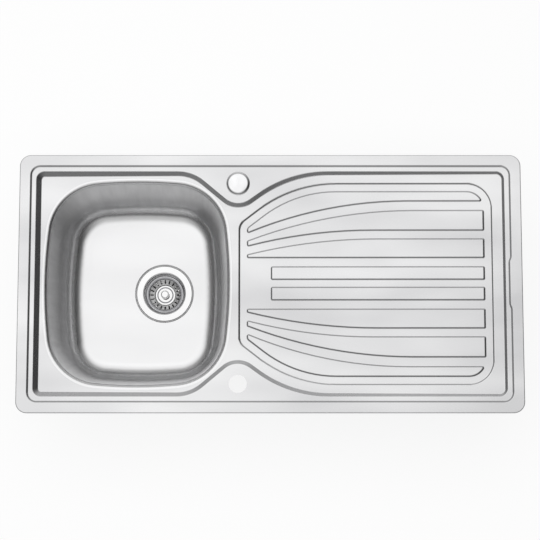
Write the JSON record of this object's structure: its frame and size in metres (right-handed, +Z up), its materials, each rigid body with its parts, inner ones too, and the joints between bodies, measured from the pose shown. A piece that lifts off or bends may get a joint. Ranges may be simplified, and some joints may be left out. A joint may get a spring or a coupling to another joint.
{
  "type": "kitchen sink with drainboard",
  "caption": "Inset stainless kitchen sink: a rectangular bowl with a basket strainer waste, a ribbed drainer beside it, tap landings at front and back, and fixing clips under the rim",
  "frame": {"origin": "The middle of the sink's outline, in the plane of the worktop's top, on which the rim's seal rests", "axes": "+X runs from the bowl to the drainer, along the front edge; +Y from the front edge to the back edge; +Z up, out of the worktop"},
  "size_m": [0.985, 0.508, 0.2563],
  "materials": {
    "sheet_steel": "satin, finely brushed along its length",
    "bowl_steel": "satin, drawn and lightly brushed",
    "seal_strip": "extruded solid rubber, matt",
    "rail_steel": "plain mill finish",
    "zinc_steel": "zinc plated",
    "clip_steel": "zinc plated spring steel",
    "damping_pad": "bitumen sheet, matt",
    "gasket_rubber": "smooth moulded rubber",
    "polished_steel": "polished stainless steel",
    "pipe_plastic": "white moulded polypropylene",
    "screw_steel": "turned stainless steel",
    "insert_brass": "turned brass",
    "cap_chrome": "chromed",
    "nut_plastic": "black moulded nylon",
    "basket_steel": "pressed stainless steel",
    "disc_steel": "polished stainless steel",
    "knob_chrome": "polished stainless steel",
    "seal_rubber": "soft moulded rubber"
  },
  "bodies": {
    "sink": {"deck": "sheet_steel", "bowl": "bowl_steel", "rim_seal": "seal_strip", "rail_front": "rail_steel", "rail_back": "rail_steel", "rail_left": "rail_steel", "rail_right": "rail_steel", "clip_studs": "zinc_steel", "bowl_pad": "damping_pad", "drainer_pad": "damping_pad", "flange_gasket": "gasket_rubber", "waste_gasket": "gasket_rubber", "waste_cup": "polished_steel", "waste_body": "pipe_plastic", "waste_screw": "screw_steel", "waste_insert": "insert_brass", "hole_cap": "cap_chrome", "cap_stud": "zinc_steel", "cap_gasket": "gasket_rubber", "cap_washer": "zinc_steel"},
    "strainer": {"strainer_basket": "basket_steel"},
    "stopper": {"stopper_disc": "disc_steel", "stopper_knob": "knob_chrome", "stopper_stem": "screw_steel", "stopper_plate": "screw_steel", "stopper_seal": "seal_rubber"},
    "cap_fixing": {"cap_nut": "nut_plastic"},
    "clip_nut_body_1": {"clip_nut_1": "zinc_steel"},
    "clip_arm_body_1": {"clip_arm_1": "clip_steel"},
    "clip_nut_body_2": {"clip_nut_2": "zinc_steel"},
    "clip_arm_body_2": {"clip_arm_2": "clip_steel"},
    "clip_nut_body_3": {"clip_nut_3": "zinc_steel"},
    "clip_arm_body_3": {"clip_arm_3": "clip_steel"},
    "clip_nut_body_4": {"clip_nut_4": "zinc_steel"},
    "clip_arm_body_4": {"clip_arm_4": "clip_steel"},
    "clip_nut_body_5": {"clip_nut_5": "zinc_steel"},
    "clip_arm_body_5": {"clip_arm_5": "clip_steel"},
    "clip_nut_body_6": {"clip_nut_6": "zinc_steel"},
    "clip_arm_body_6": {"clip_arm_6": "clip_steel"},
    "clip_nut_body_7": {"clip_nut_7": "zinc_steel"},
    "clip_arm_body_7": {"clip_arm_7": "clip_steel"},
    "clip_nut_body_8": {"clip_nut_8": "zinc_steel"},
    "clip_arm_body_8": {"clip_arm_8": "clip_steel"}
  },
  "joints": [
    {"name": "strainer_lift", "type": "slide", "parent": "sink", "child": "strainer", "axis": [0, 0, 1], "range_m": [0, 0.22]},
    {"name": "stopper_lift", "type": "slide", "parent": "strainer", "child": "stopper", "axis": [0, 0, 1], "range_m": [0, 0.009]},
    {"name": "cap_nut_run", "type": "slide", "parent": "sink", "child": "cap_fixing", "axis": [0, 0, 1], "range_m": [-0.015, 0]},
    {"name": "clip_1_tighten", "type": "slide", "parent": "sink", "child": "clip_nut_body_1", "axis": [0, 0, 1], "range_m": [0, 0.014]},
    {"name": "clip_1_swing", "type": "hinge", "parent": "clip_nut_body_1", "child": "clip_arm_body_1", "pos_m": [-0.33, -0.2295, -0.0532], "axis": [0, 0, 1], "range_deg": [0, 90]},
    {"name": "clip_2_tighten", "type": "slide", "parent": "sink", "child": "clip_nut_body_2", "axis": [0, 0, 1], "range_m": [0, 0.014]},
    {"name": "clip_2_swing", "type": "hinge", "parent": "clip_nut_body_2", "child": "clip_arm_body_2", "pos_m": [0.02, -0.2295, -0.0532], "axis": [0, 0, 1], "range_deg": [0, 90]},
    {"name": "clip_3_tighten", "type": "slide", "parent": "sink", "child": "clip_nut_body_3", "axis": [0, 0, 1], "range_m": [0, 0.014]},
    {"name": "clip_3_swing", "type": "hinge", "parent": "clip_nut_body_3", "child": "clip_arm_body_3", "pos_m": [0.33, -0.2295, -0.0532], "axis": [0, 0, 1], "range_deg": [0, 90]},
    {"name": "clip_4_tighten", "type": "slide", "parent": "sink", "child": "clip_nut_body_4", "axis": [0, 0, 1], "range_m": [0, 0.014]},
    {"name": "clip_4_swing", "type": "hinge", "parent": "clip_nut_body_4", "child": "clip_arm_body_4", "pos_m": [0.468, 0, -0.0532], "axis": [0, 0, 1], "range_deg": [0, 90]},
    {"name": "clip_5_tighten", "type": "slide", "parent": "sink", "child": "clip_nut_body_5", "axis": [0, 0, 1], "range_m": [0, 0.014]},
    {"name": "clip_5_swing", "type": "hinge", "parent": "clip_nut_body_5", "child": "clip_arm_body_5", "pos_m": [0.33, 0.2295, -0.0532], "axis": [0, 0, 1], "range_deg": [0, 90]},
    {"name": "clip_6_tighten", "type": "slide", "parent": "sink", "child": "clip_nut_body_6", "axis": [0, 0, 1], "range_m": [0, 0.014]},
    {"name": "clip_6_swing", "type": "hinge", "parent": "clip_nut_body_6", "child": "clip_arm_body_6", "pos_m": [0.02, 0.2295, -0.0532], "axis": [0, 0, 1], "range_deg": [0, 90]},
    {"name": "clip_7_tighten", "type": "slide", "parent": "sink", "child": "clip_nut_body_7", "axis": [0, 0, 1], "range_m": [0, 0.014]},
    {"name": "clip_7_swing", "type": "hinge", "parent": "clip_nut_body_7", "child": "clip_arm_body_7", "pos_m": [-0.33, 0.2295, -0.0532], "axis": [0, 0, 1], "range_deg": [0, 90]},
    {"name": "clip_8_tighten", "type": "slide", "parent": "sink", "child": "clip_nut_body_8", "axis": [0, 0, 1], "range_m": [0, 0.014]},
    {"name": "clip_8_swing", "type": "hinge", "parent": "clip_nut_body_8", "child": "clip_arm_body_8", "pos_m": [-0.468, 0, -0.0532], "axis": [0, 0, 1], "range_deg": [0, 90]}
  ]
}
